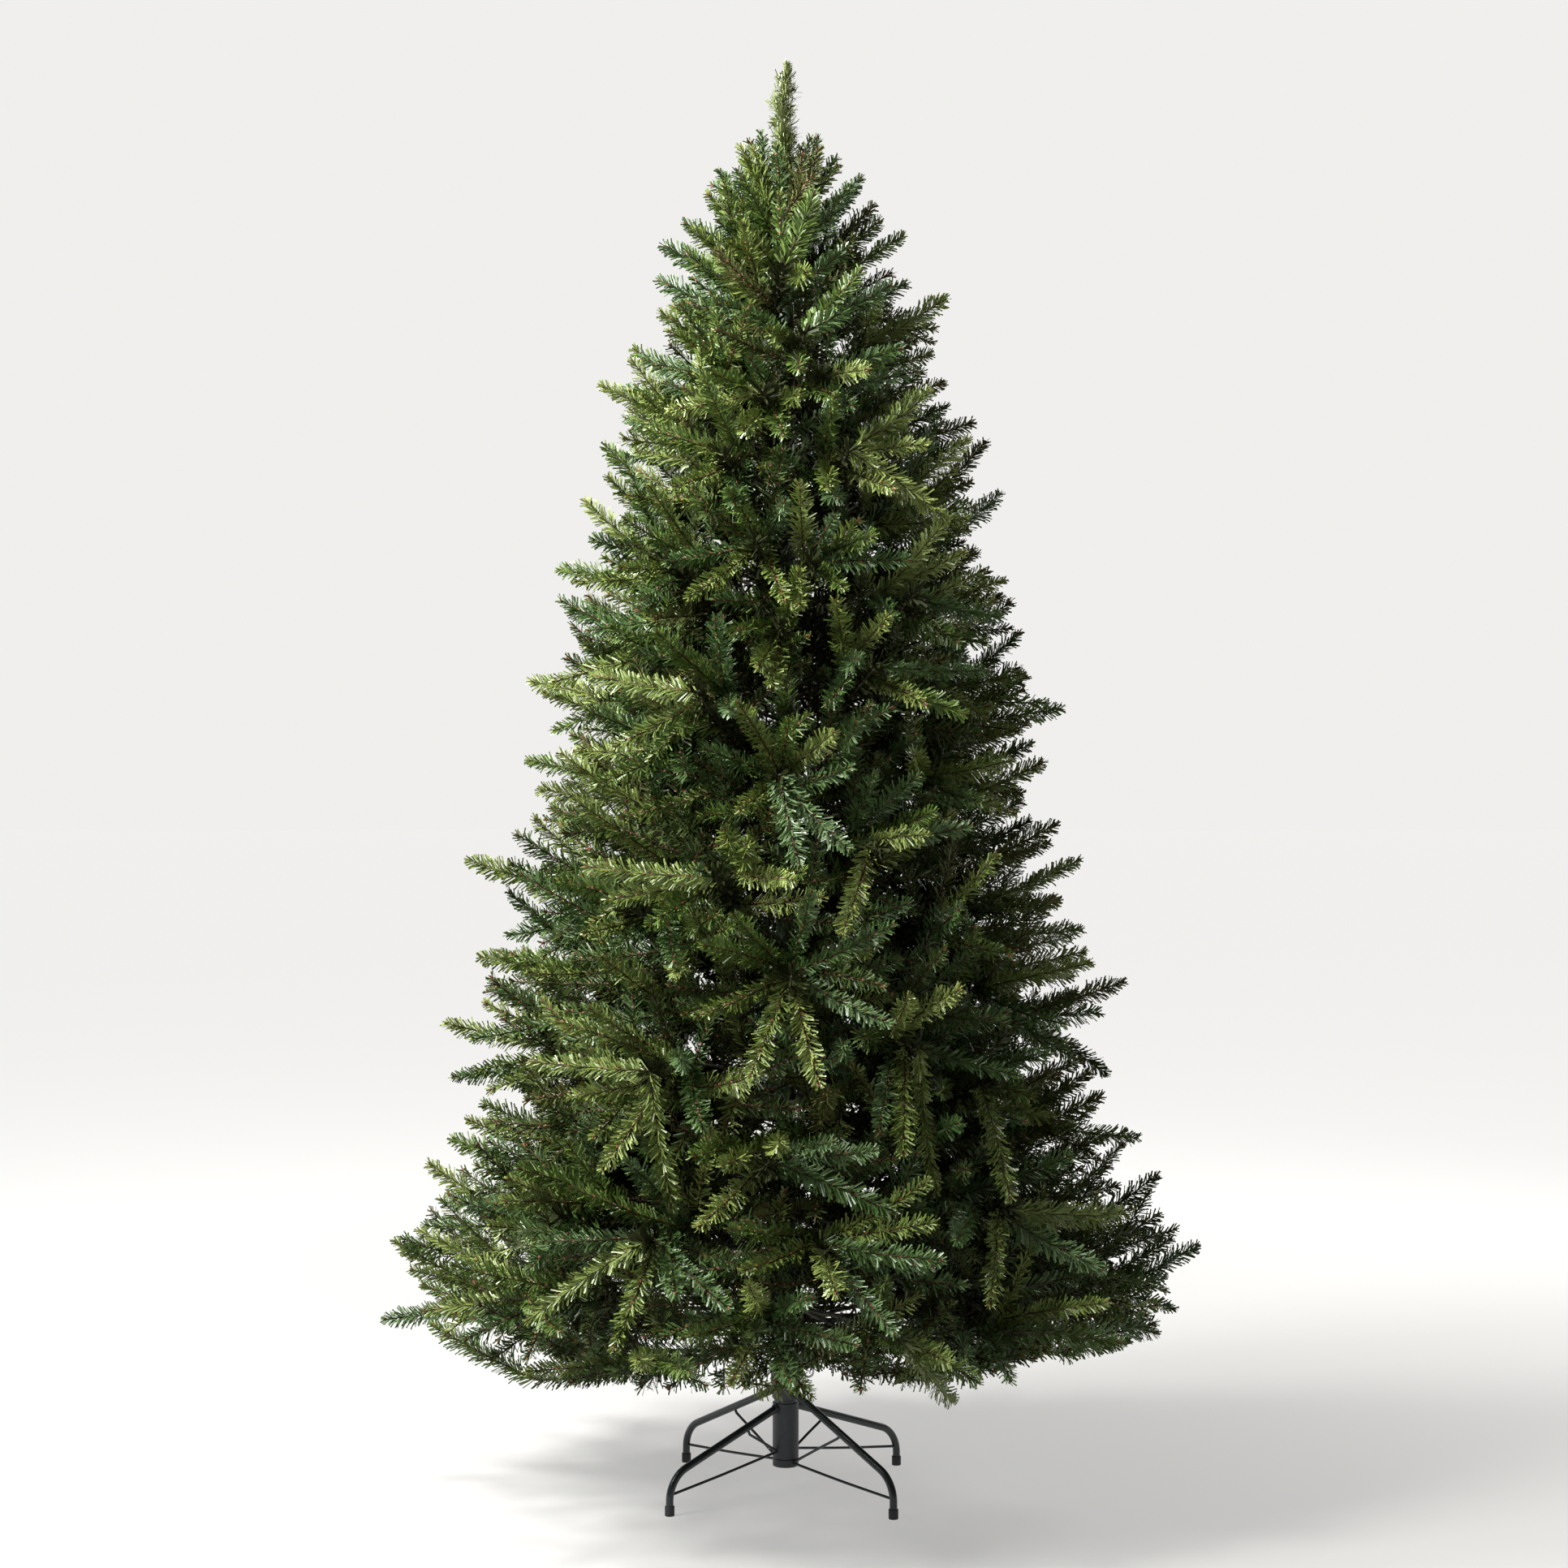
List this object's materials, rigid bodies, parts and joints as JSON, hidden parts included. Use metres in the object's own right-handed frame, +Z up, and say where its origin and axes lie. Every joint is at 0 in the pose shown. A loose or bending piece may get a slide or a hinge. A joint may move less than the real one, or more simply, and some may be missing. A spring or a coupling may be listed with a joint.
{
  "type": "artificial spruce tree",
  "caption": "Undecorated cone-shaped artificial conifer with hinged-bough foliage on a low folding metal stand with bent tube legs.",
  "frame": {"origin": "on the ground, on the axis of the pole, midway between the feet", "axes": "+Z up along the pole, -Y towards the front of the tree, +X to the right as seen from the front"},
  "size_m": [1.2, 1.1815, 2.104],
  "materials": {
    "pole_paint": "satin",
    "stand_paint": "satin",
    "leg_paint": "satin",
    "collar_plastic": "matte",
    "foot_cap": "matte",
    "bright_wire": "satin",
    "bough_wire": "matte",
    "foliage_mid": "matte",
    "foliage_dark": "matte",
    "foliage_light": "matte"
  },
  "bodies": {
    "root": {"bough_tier1_1": "bough_wire", "bough_tier1_2": "bough_wire", "bough_tier1_3": "bough_wire", "bough_tier1_4": "bough_wire", "bough_tier1_5": "bough_wire", "bough_tier1_6": "bough_wire", "bough_tier2_1": "bough_wire", "bough_tier2_2": "bough_wire", "bough_tier2_3": "bough_wire", "bough_tier2_4": "bough_wire", "bough_tier2_5": "bough_wire", "brace_back_left": "leg_paint", "brace_back_right": "leg_paint", "brace_front_left": "leg_paint", "brace_front_right": "leg_paint", "foliage_leader": "foliage_mid", "foliage_tier1_1": "foliage_mid", "foliage_tier1_2": "foliage_light", "foliage_tier1_3": "foliage_dark", "foliage_tier1_4": "foliage_mid", "foliage_tier1_5": "foliage_light", "foliage_tier1_6": "foliage_dark", "foliage_tier2_1": "foliage_dark", "foliage_tier2_2": "foliage_mid", "foliage_tier2_3": "foliage_light", "foliage_tier2_4": "foliage_dark", "foliage_tier2_5": "foliage_mid", "foliage_tier3_1": "foliage_light", "foliage_tier3_2": "foliage_dark", "foliage_tier3_3": "foliage_mid", "foliage_tier3_4": "foliage_light", "foliage_tier3_5": "foliage_dark", "foliage_tier4_1": "foliage_mid", "foliage_tier4_2": "foliage_light", "foliage_tier4_3": "foliage_dark", "foliage_tier4_4": "foliage_mid", "foliage_tier4_5": "foliage_light", "foliage_tier5_1": "foliage_dark", "foliage_tier5_2": "foliage_mid", "foliage_tier5_3": "foliage_light", "foliage_tier5_4": "foliage_dark", "foliage_tier6_1": "foliage_light", "foliage_tier6_2": "foliage_dark", "foliage_tier6_3": "foliage_mid", "foliage_top_1": "foliage_mid", "foliage_top_2": "foliage_light", "foot_back_left": "foot_cap", "foot_back_right": "foot_cap", "foot_front_left": "foot_cap", "foot_front_right": "foot_cap", "leg_back_left": "leg_paint", "leg_back_right": "leg_paint", "leg_front_left": "leg_paint", "leg_front_right": "leg_paint", "stand_bottom_collar": "stand_paint", "stand_eye_bolt": "bright_wire", "stand_swivel_sleeve": "stand_paint", "stand_tube": "stand_paint", "stand_upper_collar": "collar_plastic", "trunk_pole": "pole_paint"}
  },
  "joints": []
}
